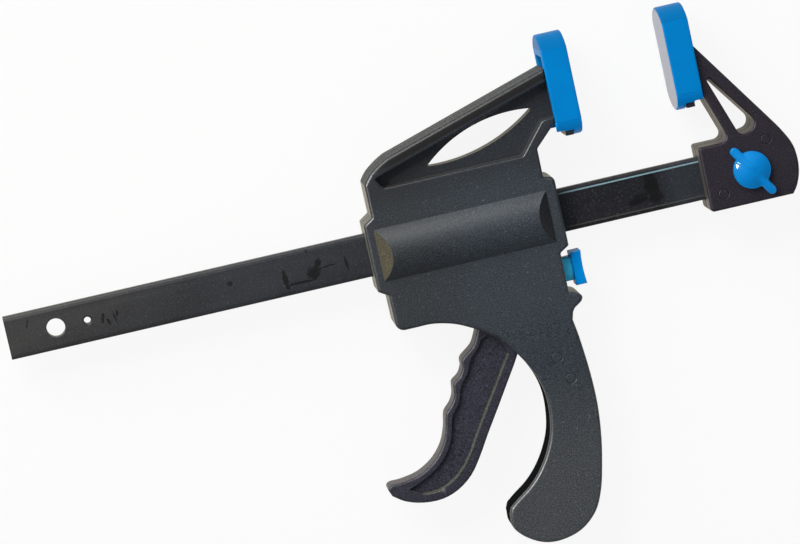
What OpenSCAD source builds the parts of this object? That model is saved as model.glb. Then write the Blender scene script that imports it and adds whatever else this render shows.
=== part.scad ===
// Quick release bar clamp, lying on its side.
// X runs along the bar towards the fixed jaw, Y points from the handle to the jaws,
// Z is the thickness. The origin is the centre of the hole in the bar's free end.

/* [Bar] */
// Height of the flat steel bar
bar_h = 20; // [18:0.5:22]
// Thickness of the bar
bar_t = 5; // [4:0.25:5.5]
// Rounding of the bar's long edges
bar_edge_r = 1; // [0.5:0.1:1.5]
// Diameter of the two holes that take the lock pin
bar_hole_d = 8.5; // [8.3:0.1:9]
// Distance between the two lock pin holes
bar_span = 324; // [300:1:600]
// Bar beyond the hole at the free end
bar_end = 22.5; // [16:0.5:30]
// Bar beyond the hole inside the fixed jaw
bar_tail = 12; // [8:0.5:13]
// Distance from the free end's hole to the small punched stop
stop_x = 14.6; // [12:0.1:20]
// Diameter of the small punched hole
stop_d = 3.2; // [2.5:0.1:4]

/* [Pads] */
// Gap between the two clamping faces as drawn
opening = 44.5; // [10:0.5:60]
// Thickness of a pad
pad_t = 12; // [11:0.5:14]
// Width of a pad across the bar
pad_w = 28; // [27:0.5:30]
// Length of a pad
pad_len = 48; // [46:0.5:54]
// Distance from the bar's centre line to the pads' lower tip
pad_low = 33; // [31:0.5:36]
// Rise of the arch at a pad's top end
pad_arch = 6.6; // [4:0.2:8]
// Rise of the arch at a pad's lower end
pad_heel = 8; // [5:0.5:9]
// Height at which the back of a pad is stepped above its tip
pad_step = 3; // [2:0.5:4]
// Thickness of the jaws' flange inside a pad
flange_t = 4; // [3:0.2:4.5]
// Pad material in front of the flange
pad_front = 4; // [3:0.2:5]
// Half width of the flange
flange_half = 11.8; // [11:0.1:12]
// Height of the flange's lower end above the pad's lower tip
tongue_up = 0.8; // [0:0.1:2]

/* [Sliding head] */
// Length of the head's body along the bar
head_len = 80; // [76:1:90]
// Half thickness of the head's body
head_half = 12; // [11.5:0.25:13]
// Half thickness of the handle
grip_half = 9; // [8.5:0.25:10]
// Reach of the arm from the body's left side to the back of its pad
arm_reach = 90; // [88:1:100]
// Height of the arm's upper edge above the bar's centre at its root
arm_root_h = 42.7; // [41:0.1:45]
// Slope of the arm's upper edge
arm_slope = 16.8; // [15:0.2:18]
// Width of the rim along the arm's upper edge
arm_rim = 6.2; // [5:0.2:7]
// Half thickness of the web that closes the arm's pocket
web_half = 4; // [3:0.25:6]
// Distance by which the collars round the bar stand out of the body
collar = 4.4; // [3:0.2:5]
// Radius of the round boss over the drive spring
boss_r = 17; // [16:0.25:18]
// Height of the flattened boss on the rear shell
boss_flat = 14; // [13.5:0.1:14]
// Run of the sloping ends of the boss
boss_run = 6; // [4:0.5:8]
// Wall of the handle's open channel
grip_wall = 3; // [2.5:0.25:4]

/* [Trigger] */
// Half thickness of the trigger
trigger_half = 6.5; // [5.5:0.25:6.75]
// Distance of the trigger's pivot from the head's left side
pivot_x = 49.5; // [48:0.5:51]
// Depth of the trigger's pivot below the bar's centre line
pivot_drop = 38; // [37:0.5:39]
// Radius of the trigger's pivot pin
pivot_r = 2.5; // [2:0.25:3]
// Length of the trigger's nose above its pivot
nose_up = 18; // [17:0.5:18.5]
// Radius of the nose
nose_r = 2.5; // [2:0.25:3]
// Depth of the hollow in the trigger's sides
trigger_hollow = 2; // [1:0.25:3]

/* [Levers and springs] */
// Thickness of the drive lever
drive_t = 3; // [2.5:0.1:3.5]
// Thickness of the brake lever
brake_t = 2.5; // [2:0.1:3]
// Half width of both levers
lever_half = 8; // [7:0.25:8.5]
// Wire of the drive spring
drive_wire = 1.2; // [0.8:0.1:1.2]
// Free turns of the drive spring
drive_turns = 9; // [6:1:12]
// Wire of the brake spring
brake_wire = 0.8; // [0.6:0.1:1]
// Mean radius of the brake spring
brake_coil_r = 2.6; // [2.2:0.1:2.8]
// Free turns of the brake spring
brake_turns = 6; // [4:1:8]
// Width of the release cap
cap_w = 11; // [9:0.5:15]
// Thickness of the release cap's finger plate
cap_t = 4.6; // [3.5:0.1:5]

/* [Fixed jaw] */
// Half thickness of the fixed jaw
jaw_half = 11; // [10.5:0.25:12]
// Distance from the fixed jaw's inner side to the lock pin
jaw_inset = 22; // [20:0.5:24]
// Distance by which the pad's back stands behind the jaw's inner side
jaw_back = 7; // [6:0.25:8]
// Height of the block above and below the bar's centre line
block_half = 15; // [14:0.25:16]
// Radius of the lock pin
lock_r = 4; // [3.5:0.1:4.1]
// Radius of the wing knob's round body
knob_r = 8.6; // [7.5:0.2:9]
// Length over the two wings
wing_len = 26; // [22:0.5:28]
// Width of a wing
wing_w = 3.8; // [3:0.2:5]
// Height of the knob's wings above the jaw
wing_h = 6; // [5:0.25:8]
// Angle of the wings from the bar
wing_angle = 123; // [0:1:180]

/* [Fasteners] */
// Diameter of the screws' shanks
screw_d = 3; // [2.5:0.1:3.2]
// Diameter of the screws' heads
screw_head_d = 5.2; // [4.8:0.1:5.4]
// Length of the screws below the head
screw_len = 12; // [10:0.5:12]
// Depth of the wells that take the screws' heads
screw_well = 3; // [2.5:0.25:3.5]

/* [Fits] */
// Clearance of a part that slides or sits loosely
slide_fit = 0.3; // [0.25:0.05:0.4]
// Radial clearance of a pin that turns
turn_fit = 0.05; // [0.02:0.01:0.08]
// Radial clearance of a pin or screw that is held
hold_fit = 0.02; // [0.01:0.01:0.05]

/* [Hidden] */
$fn = 64;
plastic = "#2f353b";
blue = "#0078be";
steel = "#9aa0a6";

// Places along the bar
jaw_x = bar_span - jaw_inset;
jaw_face_x = jaw_x + jaw_back - pad_t;
head_x = jaw_face_x - opening - pad_t - arm_reach;
bar_x0 = -bar_end;
bar_x1 = bar_span + bar_tail;
pad_top = pad_low + pad_len;

// Channel for the bar
slot_h = bar_h / 2 + slide_fit;
slot_t = bar_t / 2 + slide_fit;

// Spring room inside the boss: the coil clears the bar's corners
coil_in = norm([bar_h / 2, bar_t / 2]) + slide_fit;
coil_r = coil_in + drive_wire / 2;
coil_room = coil_in + drive_wire + slide_fit;
washer_t = 1;
spring_x0 = 4;
drive_x = pivot_x - nose_r - slide_fit;
drive_gap = 2 * slide_fit;
drive_travel = 9.5;
drive_low = -23.5;
boss_x0 = -1.2;
boss_x1 = head_len - 0.6;

// Brake lever: it hangs inside the right end of the head
brake_x = head_len - 1;
brake_top = 14;
brake_low = -33;
brake_sweep = 5.5;
brake_spring_y = -24;
brake_spring_x = pivot_x + 8.5;
release_y = [-19.3, -34.7];
stem_y = [-21.5, -32];

pivot = [pivot_x, -pivot_drop];
cheek = trigger_half + slide_fit;
screw_spots = [[12, 22], [head_len - 12, 22], [14, -27], [head_len - 9.5, -66],
    [head_len - 22, -138.5]];
grip_from = -52;
grip_to = -78;
jaw_screw_spots = [[31.3, 12.6], [10.8, 50]];
knob_gap = slide_fit;
clip_z = -7;
clip_t = 1;
lock_end = -9;
eps = 0.01;
past = 40;

// ---- Outlines ----

function unit(v) = v / norm(v);

// Arc that rounds the corner p between its neighbours a and b
function corner(a, p, b, r, n = 6) = r == 0 ? [p] :
    let (u = unit(a - p), v = unit(b - p), h = acos(max(-1, min(1, u * v))) / 2,
         c = p + unit(u + v) * r / sin(h), s = p + u * r / tan(h) - c,
         e = p + v * r / tan(h) - c, a0 = atan2(s.y, s.x),
         turn = atan2(s.x * e.y - s.y * e.x, s * e))
    [for (i = [0:n]) c + r * [cos(a0 + turn * i / n), sin(a0 + turn * i / n)]];

// Closed outline of corners [x, y, radius]
function rounded(p) = let (k = len(p))
    [for (i = [0:k - 1]) let (a = p[(i + k - 1) % k], q = p[i], b = p[(i + 1) % k])
        each corner([a.x, a.y], [q.x, q.y], [b.x, b.y], q[2])];

// Smooth curve through a few points
function through(p, n = 5) = [for (i = [0:len(p) - 2])
    let (q0 = i == 0 ? 2 * p[0] - p[1] : p[i - 1], q1 = p[i], q2 = p[i + 1],
         q3 = i == len(p) - 2 ? 2 * q2 - q1 : p[i + 2])
    for (j = [0:i == len(p) - 2 ? n : n - 1]) let (t = j / n)
        (2 * q1 + (q2 - q0) * t + (2 * q0 - 5 * q1 + 4 * q2 - q3) * t * t
         + (3 * q1 - q0 - 3 * q2 + q3) * t * t * t) / 2];

// An open curve moved to its left by w
function beside(p, w) = [for (i = [0:len(p) - 1])
    let (d = unit(p[min(i + 1, len(p) - 1)] - p[max(i - 1, 0)])) p[i] + w * [-d.y, d.x]];

function reversed(p) = [for (i = [len(p) - 1:-1:0]) p[i]];

// Height of the arm's upper edge at x
arm_root_x = 12;
function arm_top(x) = arm_root_h + (x - arm_root_x) * tan(arm_slope);

// The handle's outer curve, from the body down its back and round its end
grip_back = through([
    [head_len - 0.9, -48.8], [head_len + 0.5, -58], [head_len + 2.1, -75],
    [head_len + 2.4, -90], [head_len + 1, -105], [head_len - 1.4, -118],
    [head_len - 4.3, -129.2], [head_len - 8.8, -138.5], [head_len - 16.5, -145.2],
    [head_len - 25.9, -148], [head_len - 34.7, -147.4], [head_len - 42.6, -143.1],
    [head_len - 47.6, -137.2], [head_len - 47.9, -130.6]]);

// The handle's inner lip, from its tip up to the trigger's root
grip_lip = through([
    [head_len - 46.7, -127.9], [head_len - 42.8, -124.9], [head_len - 36.4, -120.4],
    [head_len - 30.9, -114.9], [head_len - 26, -107.8], [head_len - 22, -98.9],
    [head_len - 20.2, -89], [head_len - 20.2, -80], [head_len - 22.1, -71.8],
    [head_len - 25.6, -64.2], [head_len - 29.1, -58.3]]);

// The lower edge of the body, from the trigger's root to the left side
belly = through([
    [48.6, -54.8], [44.5, -49.8], [39, -45.5], [33, -41.9], [27, -38.9],
    [21, -37], [15, -36], [8.5, -36]]);

// Outline of the sliding head, in the head's own frame
side_x = -0.7;
neck_x = head_len - 0.4;
collar_left = -collar - 0.6;
collar_right = head_len + collar;
head_outline = concat(
    corner([collar_left, 0], [collar_left, 14.8], [side_x, 17.6], 0.8, 3),
    [[side_x, 17.6]],
    corner([side_x, 17], [side_x, 32.6], [4.4, 38.1], 1, 3),
    through([[4.4, 38.1], [7.9, 40.5], [arm_root_x, arm_root_h]], 3),
    [[arm_reach, arm_top(arm_reach)], [arm_reach, 41.4]],
    corner([arm_reach, 41.4], [neck_x, 31.4], [neck_x, 18], 1.5, 3),
    corner([neck_x, 30], [neck_x, 18.3], [head_len + 3, 17.6], 0.8, 3),
    corner([neck_x, 18.3], [collar_right, 17.2], [collar_right, 0], 2.6, 4),
    corner([collar_right, 0], [collar_right, -15], [head_len, -17.6], 0.8, 3),
    corner([collar_right, -15], [head_len, -17.6], [head_len, -30], 1, 3),
    corner([head_len, -20], [head_len, -35.8], [head_len + 3, -36.8], 0.5, 3),
    through([[head_len + 1.8, -36.4], [head_len + 4.2, -37.4], [head_len + 5.6, -39.2],
        [head_len + 5, -41], [head_len + 3.2, -42.4], [head_len + 1.2, -43.7],
        [head_len, -45.4]], 3),
    grip_back, grip_lip, belly,
    corner([9, -36], [side_x + 0.2, -36], [side_x, -20], 4, 5),
    corner([side_x, -30], [side_x, -18.9], [collar_left, -16.2], 1, 3),
    corner([side_x, -18.9], [collar_left, -16.2], [collar_left, 0], 0.8, 3));

// Pocket in the arm, open towards the pad
pocket_low = 29.6;
pocket = rounded([
    [4.6, arm_top(4.6) - arm_rim, 0.8], [7.4, pocket_low, 1.5], [72.4, pocket_low, 1.5],
    [84.3, 43.6, 3], [arm_reach + 1, 44, 0],
    [arm_reach + 1, arm_top(arm_reach + 1) - arm_rim, 0]]);

// Eye-shaped hole through the web: two circles' common part between its tips
eye_a = [29.2, 33.8];
eye_b = [82, 49.2];
eye_sag = [7.7, 5.6];

module eye_side(sag) {
    half = norm(eye_b - eye_a) / 2;
    r = (half * half + sag * sag) / (2 * sag);
    mid = (eye_a + eye_b) / 2;
    across = unit([-(eye_b - eye_a).y, (eye_b - eye_a).x]);
    translate([for (v = mid - across * (r - sag)) v]) circle(r, $fn = 180);
}

module eye_hole() {
    mid = (eye_a + eye_b) / 2;
    tilt = atan2((eye_b - eye_a).y, (eye_b - eye_a).x);
    intersection() {
        eye_side(eye_sag[0]);
        translate(mid) rotate(180) translate(-mid) eye_side(eye_sag[1]);
        translate(mid) rotate(tilt) square([norm(eye_b - eye_a) - 1.6, 40], center = true);
    }
}

// Room for the trigger: the nose, the way out of the belly and the handle's channel
trigger_room = concat(
    [[pivot_x - 12.5, -17.2], [pivot_x + 4, -17.2], [pivot_x + 9, -26],
     [pivot_x + 17, -40], [head_len - 4.4, -47]],
    [for (q = reversed(beside(reversed(grip_back), grip_wall))) if (q.x > 60 || q.y < -136) q],
    [[head_len - 51, -135], [head_len - 52, -126]],
    beside(grip_lip, 3),
    [[46, -60], [28, -50], [33, -38]]);

// Outline of the trigger, in the head's own frame
trigger_front = through([
    [36.3, -42.7], [34.6, -46.6], [31.9, -51.3], [26.8, -55.1], [25.5, -57.1], [25.3, -59.8],
    [23.3, -63.3], [20.1, -65.6], [19.4, -67.7], [18.8, -71.7], [16.8, -75.3], [13.9, -78.2],
    [12.8, -80.7], [11.7, -85.8], [8.8, -92.8], [3.4, -99.1], [-4.3, -103.6],
    [-12.4, -105.2], [-17.4, -105.3]], 3);
trigger_back = through([
    [-18.6, -110.5], [-12.9, -114.4], [-5, -116.8], [3.6, -117.1], [11.6, -114.6],
    [18.9, -109.3], [24.7, -101.6], [30.4, -92.4], [36.8, -82.6], [43.6, -72], [51.4, -59.5],
    [pivot_x + 5.6, -50], [pivot_x + 7.6, -40], [pivot_x + 6.4, -32]], 3);
trigger_outline = concat(
    trigger_front,
    corner([-16.5, -105.3], [-20.5, -105.9], [-18.5, -110.6], 1.6, 4),
    trigger_back,
    [[pivot_x + nose_r, -pivot_drop + nose_up], [pivot_x - nose_r, -pivot_drop + nose_up],
     [pivot_x - nose_r, drive_low - 1], [pivot_x - 5.5, -30], [pivot_x - 9, -37]]);

// Hollow panel in the trigger's sides, with a rim of even width round it
panel = concat(
    beside(through([[32, -53.4], [26.8, -60.4], [21, -68.4], [15, -79.8], [12.6, -89],
        [6, -97.6], [-4, -103.6], [-12.4, -106]], 3), 3.2),
    [[-10.4, -109.4]],
    beside(through([[-5, -117], [3.6, -117.2], [11.5, -114.4], [18.6, -109], [24.6, -101.6],
        [30.4, -92.4], [36.8, -82.6], [43.8, -72.1], [49, -64]], 3), 4.4),
    [[41.4, -57]]);

// Outline of the fixed jaw, in the jaw's own frame
block_low = -block_half - 0.3;
jaw_outline = concat(
    corner([10, block_low], [0, block_low], [0, 0], 1.8, 4),
    corner([0, 0], [0, block_half], [10, block_half], 1.2, 3),
    corner([0, block_half], [15.1, block_half], [jaw_back, 38.4], 3, 4),
    [[jaw_back, 38.4], [jaw_back, 61.7]],
    through([[30, 28.5], [34.6, 21.8], [39.3, 14.7], [43, 7.2], [44, 0], [43.3, -6.4],
        [41.4, -11.6], [38.9, block_low]], 4));

jaw_window = rounded([[8.6, 48.9, 0.8], [20, 16.6, 2.8], [30.7, 18.3, 4]]);

// ---- Shared shapes ----

// A rod along X
module rod(x0, x1, r, y = 0, z = 0) {
    translate([x0, y, z]) rotate([0, 90, 0]) cylinder(r = r, h = x1 - x0);
}

module block(x, y, z) {
    translate([x[0], y[0], z[0]]) cube([x[1] - x[0], y[1] - y[0], z[1] - z[0]]);
}

// A round wire wound along X: one unbroken tube whose first and last turns lie closed
wire_sides = 6;
wire_rings = 12;
module coil(x0, x1, r, wire, turns) {
    rings = wire_rings * (turns + 2);
    rise = function(i) let (t = i / wire_rings)
        x0 + wire / 2 + (t < 1 ? t * wire * 1.4
            : t > turns + 1 ? x1 - x0 - wire - (turns + 2 - t) * wire * 1.4
            : wire * 1.4 + (t - 1) * (x1 - x0 - wire - 2.8 * wire) / turns);
    pts = [for (i = [0:rings]) let (a = 360 * i / wire_rings)
        for (j = [0:wire_sides - 1]) let (b = 360 * j / wire_sides, q = r + wire / 2 * cos(b))
            [rise(i) + wire / 2 * sin(b), q * cos(a), q * sin(a)]];
    faces = concat(
        [[for (j = [0:wire_sides - 1]) j]],
        [[for (j = [wire_sides - 1:-1:0]) rings * wire_sides + j]],
        [for (i = [0:rings - 1]) for (j = [0:wire_sides - 1])
            let (k = (j + 1) % wire_sides, a = i * wire_sides, b = a + wire_sides)
            each [[a + j, b + j, b + k], [a + j, b + k, a + k]]]);
    polyhedron(pts, faces, convexity = 8);
}

// Bar-shaped passage along X
module bar_slot(x0, x1) {
    block([x0, x1], [-slot_h, slot_h], [-slot_t, slot_t]);
}

module at_head() { translate([head_x, 0, 0]) children(); }
module at_jaw() { translate([jaw_x, 0, 0]) children(); }

// ---- Bar ----

module bar_section() {
    w = bar_t / 2 - bar_edge_r;
    h = bar_h / 2 - bar_edge_r;
    square([bar_t, 2 * h], center = true);
    square([2 * w, bar_h], center = true);
    for (x = [-w, w], y = [-h, h]) translate([x, y]) circle(bar_edge_r);
}

module bar() {
    color(steel) difference() {
        translate([bar_x0, 0, 0]) rotate([0, 90, 0])
            linear_extrude(bar_x1 - bar_x0) bar_section();
        for (x = [0, bar_span]) translate([x, 0, 0])
            cylinder(d = bar_hole_d, h = 2 * bar_t, center = true);
        translate([stop_x, 0, 0]) cylinder(d = stop_d, h = 2 * bar_t, center = true);
        translate([stop_x, 0, bar_t / 2 - 0.7]) cylinder(r1 = stop_d / 2, r2 = stop_d / 2 + 1.4, h = 1.4);
    }
}

// ---- Sliding head ----

// Round boss between its two sloping ends, cut level at the height of the crown
module boss(crown) {
    slope = atan2(boss_r - head_half, boss_run);
    difference() {
        intersection() {
            rod(boss_x0, boss_x1, boss_r);
            block([boss_x0, boss_x1], [-boss_r, boss_r], [0, crown]);
        }
        translate([boss_x0, 0, head_half]) rotate([0, -slope, 0])
            block([-past, past], [-past, past], [0, past]);
        translate([boss_x1, 0, head_half]) rotate([0, slope, 0])
            block([-past, past], [-past, past], [0, past]);
    }
}

// One half of the head before its inside is cut; the front half lies above Z = 0
module head_half_solid(crown) {
    difference() {
        union() {
            linear_extrude(head_half) polygon(head_outline);
            boss(crown);
            translate([arm_reach + pad_t, 0, 0]) mirror([1, 0, 0]) pad_flange();
        }
        // The handle is thinner than the body
        thin = head_half - grip_half;
        block([-past, head_len + past], [-200, grip_to], [grip_half, past]);
        translate([0, grip_from, head_half]) rotate([atan2(thin, grip_from - grip_to), 0, 0])
            block([-past, head_len + past], [-28, 0], [0, past]);
    }
}

// Everything that is cut out of both halves
module head_inside() {
    bar_slot(-past, head_len + past);
    translate([0, 0, web_half]) linear_extrude(past) polygon(pocket);
    translate([0, 0, -past - web_half]) linear_extrude(past) polygon(pocket);
    linear_extrude(past, center = true) eye_hole();
    // Spring, washer and drive lever
    rod(spring_x0, drive_x, coil_room);
    block([drive_x - drive_t - drive_travel, drive_x + drive_gap], [drive_low - 1.5, 15],
          [-lever_half - slide_fit, lever_half + slide_fit]);
    // Trigger
    linear_extrude(2 * cheek, center = true) difference() {
        polygon(trigger_room);
        for (s = [screw_spots[3], screw_spots[4]]) translate(s) circle(screw_d / 2 + 2);
    }
    translate([pivot.x, pivot.y, 0])
        cylinder(r = pivot_r + hold_fit, h = 2 * (head_half - 2), center = true);
    // Brake lever, its spring and the release cap's stem
    block([brake_x - brake_t - brake_sweep, brake_x + slide_fit],
          [brake_low - 3 * slide_fit, brake_top + 2 * slide_fit],
          [-lever_half - slide_fit, lever_half + slide_fit]);
    block([brake_x - 1, head_len + past], [stem_y[1] - 1, stem_y[0] + 1],
          [-cap_w / 2 + 1 - slide_fit, cap_w / 2 - 1 + slide_fit]);
    rod(brake_spring_x, brake_x - brake_t, brake_coil_r + brake_wire / 2 + slide_fit, brake_spring_y);
}

module head_shell_front() {
    color(plastic) at_head() difference() {
        head_half_solid(boss_r);
        head_inside();
        for (s = screw_spots) translate([s.x, s.y, -eps])
            cylinder(d = screw_d + 2 * hold_fit, h = screw_tip(s) + slide_fit);
    }
}

module head_shell_rear() {
    color(plastic) at_head() difference() {
        mirror([0, 0, 1]) head_half_solid(boss_flat);
        head_inside();
        for (s = screw_spots) {
            translate([s.x, s.y, -past]) cylinder(d = screw_d + 2 * slide_fit, h = past + 1);
            translate([s.x, s.y, screw_seat(s) - past])
                cylinder(d = screw_head_d + 2 * slide_fit, h = past);
        }
    }
}

// ---- Pads ----

// A pad's face: straight sides between two arches
module pad_face() {
    half = pad_w / 2;
    top_r = (half * half + pad_arch * pad_arch) / (2 * pad_arch);
    low_r = (half * half + pad_heel * pad_heel) / (2 * pad_heel);
    intersection() {
        translate([-half, pad_low]) square([pad_w, pad_len]);
        union() {
            translate([0, pad_top - top_r]) circle(top_r, $fn = 160);
            translate([-half, pad_low]) square([pad_w, pad_len - pad_arch]);
        }
        union() {
            translate([0, pad_low + low_r]) circle(low_r, $fn = 160);
            translate([-half, pad_low + pad_heel]) square([pad_w, pad_len - pad_heel]);
        }
    }
}

neck_half = flange_half - 2;
neck_root = 1;
flange_low = pad_low + tongue_up;
flange_high = pad_top - 7;

// A pad with its clamping face at X = 0 and its back at X = pad_t
module pad() {
    color(blue) difference() {
        rotate([0, 90, 0]) linear_extrude(pad_t) pad_face();
        // Stepped lower end behind the clamping face
        block([pad_front + 1, pad_t + 1], [pad_low - 1, pad_low + pad_step], [-past, past]);
        // Pocket for the flange and the way in for the neck
        block([pad_front, pad_front + flange_t + slide_fit], [pad_low - 1, flange_high + slide_fit],
              [-flange_half - slide_fit, flange_half + slide_fit]);
        block([pad_front, pad_t + 1], [pad_low - 1, flange_high - 3 + slide_fit],
              [-neck_half - slide_fit, neck_half + slide_fit]);
    }
}

// The flange that carries a pad, with its neck rooted in the jaw behind the pad's back
module pad_flange() {
    block([pad_front + slide_fit, pad_front + flange_t], [flange_low, flange_high],
          [0, flange_half]);
    block([pad_front + flange_t - eps, pad_t + neck_root],
          [pad_low + pad_step + 5.4, flange_high - 14.6],
          [0, neck_half]);
}

module head_pad() {
    translate([head_x + arm_reach + pad_t, 0, 0]) mirror([1, 0, 0]) pad();
}

module jaw_pad() {
    translate([jaw_face_x, 0, 0]) pad();
}

// ---- Fixed jaw ----

module jaw_half_solid() {
    difference() {
        union() {
            linear_extrude(jaw_half) polygon(jaw_outline);
            translate([jaw_back - pad_t, 0, 0]) pad_flange();
        }
        bar_slot(-past, bar_x1 - jaw_x + slide_fit);
        translate([0, 0, -eps]) linear_extrude(past) polygon(jaw_window);
        translate([jaw_inset, 0, -eps]) cylinder(r = clip_r + slide_fit, h = clip_t - clip_z + slide_fit);
    }
}

clip_r = lock_r + 1.6;

module jaw_half_front() {
    color(plastic) at_jaw() difference() {
        jaw_half_solid();
        translate([jaw_inset, 0, -eps]) cylinder(r = lock_r + turn_fit, h = past);
        for (s = jaw_screw_spots) translate([s.x, s.y, -eps])
            cylinder(d = screw_d + 2 * hold_fit, h = jaw_tip + slide_fit);
    }
}

module jaw_half_rear() {
    color(plastic) at_jaw() mirror([0, 0, 1]) difference() {
        jaw_half_solid();
        translate([jaw_inset, 0, -eps]) cylinder(r = lock_r + turn_fit, h = -lock_end + slide_fit);
        for (s = jaw_screw_spots) {
            translate([s.x, s.y, -eps]) cylinder(d = screw_d + 2 * slide_fit, h = past);
            translate([s.x, s.y, -jaw_seat]) cylinder(d = screw_head_d + 2 * slide_fit, h = past);
        }
    }
}

// ---- Trigger ----

module trigger() {
    color(plastic) at_head() difference() {
        union() {
            linear_extrude(2 * trigger_half, center = true) polygon(trigger_outline);
            translate([pivot.x, pivot.y + nose_up, 0])
                cylinder(r = nose_r, h = 2 * trigger_half, center = true);
        }
        for (side = [-1, 1]) translate([0, 0, side * trigger_half])
            linear_extrude(2 * trigger_hollow, center = true) polygon(panel);
        translate([pivot.x, pivot.y, 0]) cylinder(r = pivot_r + turn_fit, h = past, center = true);
    }
}

module trigger_pin() {
    color(steel) at_head() translate([pivot.x, pivot.y, 0])
        cylinder(r = pivot_r, h = 2 * (head_half - 2 - slide_fit), center = true);
}

// ---- Levers, springs and release cap ----

module drive_lever() {
    color(steel) at_head() difference() {
        block([drive_x - drive_t, drive_x], [drive_low, 13.8], [-lever_half, lever_half]);
        bar_slot(-past, past + drive_x);
    }
}

module spring_washer() {
    color(steel) at_head() difference() {
        rod(spring_x0, spring_x0 + washer_t, coil_room - slide_fit);
        bar_slot(-past, past);
    }
}

module drive_spring() {
    color(steel) at_head()
        coil(spring_x0 + washer_t, drive_x - drive_t, coil_r, drive_wire, drive_turns);
}

module brake_lever() {
    color(steel) at_head() difference() {
        block([brake_x - brake_t, brake_x], [brake_low, brake_top], [-lever_half, lever_half]);
        block([-past, head_len + past], [-slot_h - 0.5, slot_h], [-slot_t, slot_t]);
    }
}

module brake_spring() {
    color(steel) at_head() translate([0, brake_spring_y, 0])
        coil(brake_spring_x, brake_x - brake_t, brake_coil_r, brake_wire, brake_turns);
}

// Finger plate with a slightly hollow face, on a stem that is clipped to the brake lever
module release_cap() {
    face_x = head_len + collar + 0.3;
    hollow_r = 60;
    color(blue) at_head() difference() {
        union() {
            block([brake_x, face_x + 1], [stem_y[1], stem_y[0]], [-cap_w / 2 + 1, cap_w / 2 - 1]);
            block([face_x, face_x + cap_t + 0.8], [release_y[1], release_y[0]], [-cap_w / 2, cap_w / 2]);
        }
        translate([face_x + cap_t + hollow_r, (release_y[0] + release_y[1]) / 2, 0])
            cylinder(r = hollow_r, h = past, center = true, $fn = 240);
    }
}

// ---- Lock pin and knob ----

module lock_pin() {
    color(steel) translate([bar_span, 0, 0]) difference() {
        translate([0, 0, lock_end]) cylinder(r = lock_r, h = jaw_half + knob_gap + 2 - lock_end);
        translate([0, 0, clip_z - clip_t / 2 - hold_fit]) difference() {
            cylinder(r = lock_r + 1, h = clip_t + 2 * hold_fit);
            translate([0, 0, -1]) cylinder(r = lock_r - 0.8, h = clip_t + 3);
        }
    }
}

module lock_pin_clip() {
    color(steel) translate([bar_span, 0, clip_z - clip_t / 2]) difference() {
        cylinder(r = clip_r, h = clip_t);
        translate([0, 0, -1]) cylinder(r = lock_r - 0.8 + hold_fit, h = clip_t + 2);
        rotate(wing_angle) translate([0, -1.6, -1]) cube([clip_r + 1, 3.2, clip_t + 2]);
    }
}

module wing_knob() {
    base = jaw_half + knob_gap;
    rim = 2.2;
    dome = 1.8;
    dome_r = (knob_r * knob_r + dome * dome) / (2 * dome);
    tip = wing_len / 2 - wing_w / 2;
    color(blue) translate([bar_span, 0, base]) difference() {
        union() {
            cylinder(r = knob_r, h = rim);
            intersection() {
                cylinder(r = knob_r, h = rim + dome);
                translate([0, 0, rim + dome - dome_r]) sphere(dome_r, $fn = 96);
            }
            rotate(wing_angle) {
                translate([-tip, -wing_w / 2, 0]) cube([2 * tip, wing_w, wing_h]);
                for (x = [-tip, tip]) translate([x, 0, 0]) cylinder(d = wing_w, h = wing_h);
            }
        }
        translate([0, 0, -1]) cylinder(r = lock_r + hold_fit, h = 3 + hold_fit);
    }
}

// ---- Screws ----

// Depth of a screw's seat in the rear shell: wells in the handle follow its thinner wall
function screw_seat(s) = -(s.y < grip_to + 15 ? grip_half : head_half) + screw_well;
function screw_tip(s) = screw_seat(s) + screw_len;
jaw_seat = -jaw_half + screw_well;
jaw_tip = jaw_seat + screw_len;

// A pan-head screw whose head lies below Z = 0 and whose shank points up
module screw() {
    head_h = 2;
    difference() {
        union() {
            cylinder(d = screw_d, h = screw_len);
            translate([0, 0, -head_h]) cylinder(d = screw_head_d, h = head_h);
        }
        for (a = [0, 90]) rotate(a)
            translate([-1.5, -0.4, -head_h - 1]) cube([3, 0.8, 2.2]);
    }
}

module head_screws() {
    color(steel) at_head() for (s = screw_spots) translate([s.x, s.y, screw_seat(s)]) screw();
}

module jaw_screws() {
    color(steel) at_jaw() for (s = jaw_screw_spots) translate([s.x, s.y, jaw_seat]) screw();
}

bar();
head_shell_front();
head_shell_rear();
head_pad();
jaw_pad();
jaw_half_front();
jaw_half_rear();
wing_knob();
lock_pin();
lock_pin_clip();
trigger();
trigger_pin();
drive_lever();
drive_spring();
spring_washer();
brake_lever();
brake_spring();
release_cap();
head_screws();
jaw_screws();
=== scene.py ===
import functools
import math

import bmesh
import bpy
from mathutils import Matrix, Vector
from mathutils.geometry import delaunay_2d_cdt


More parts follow.
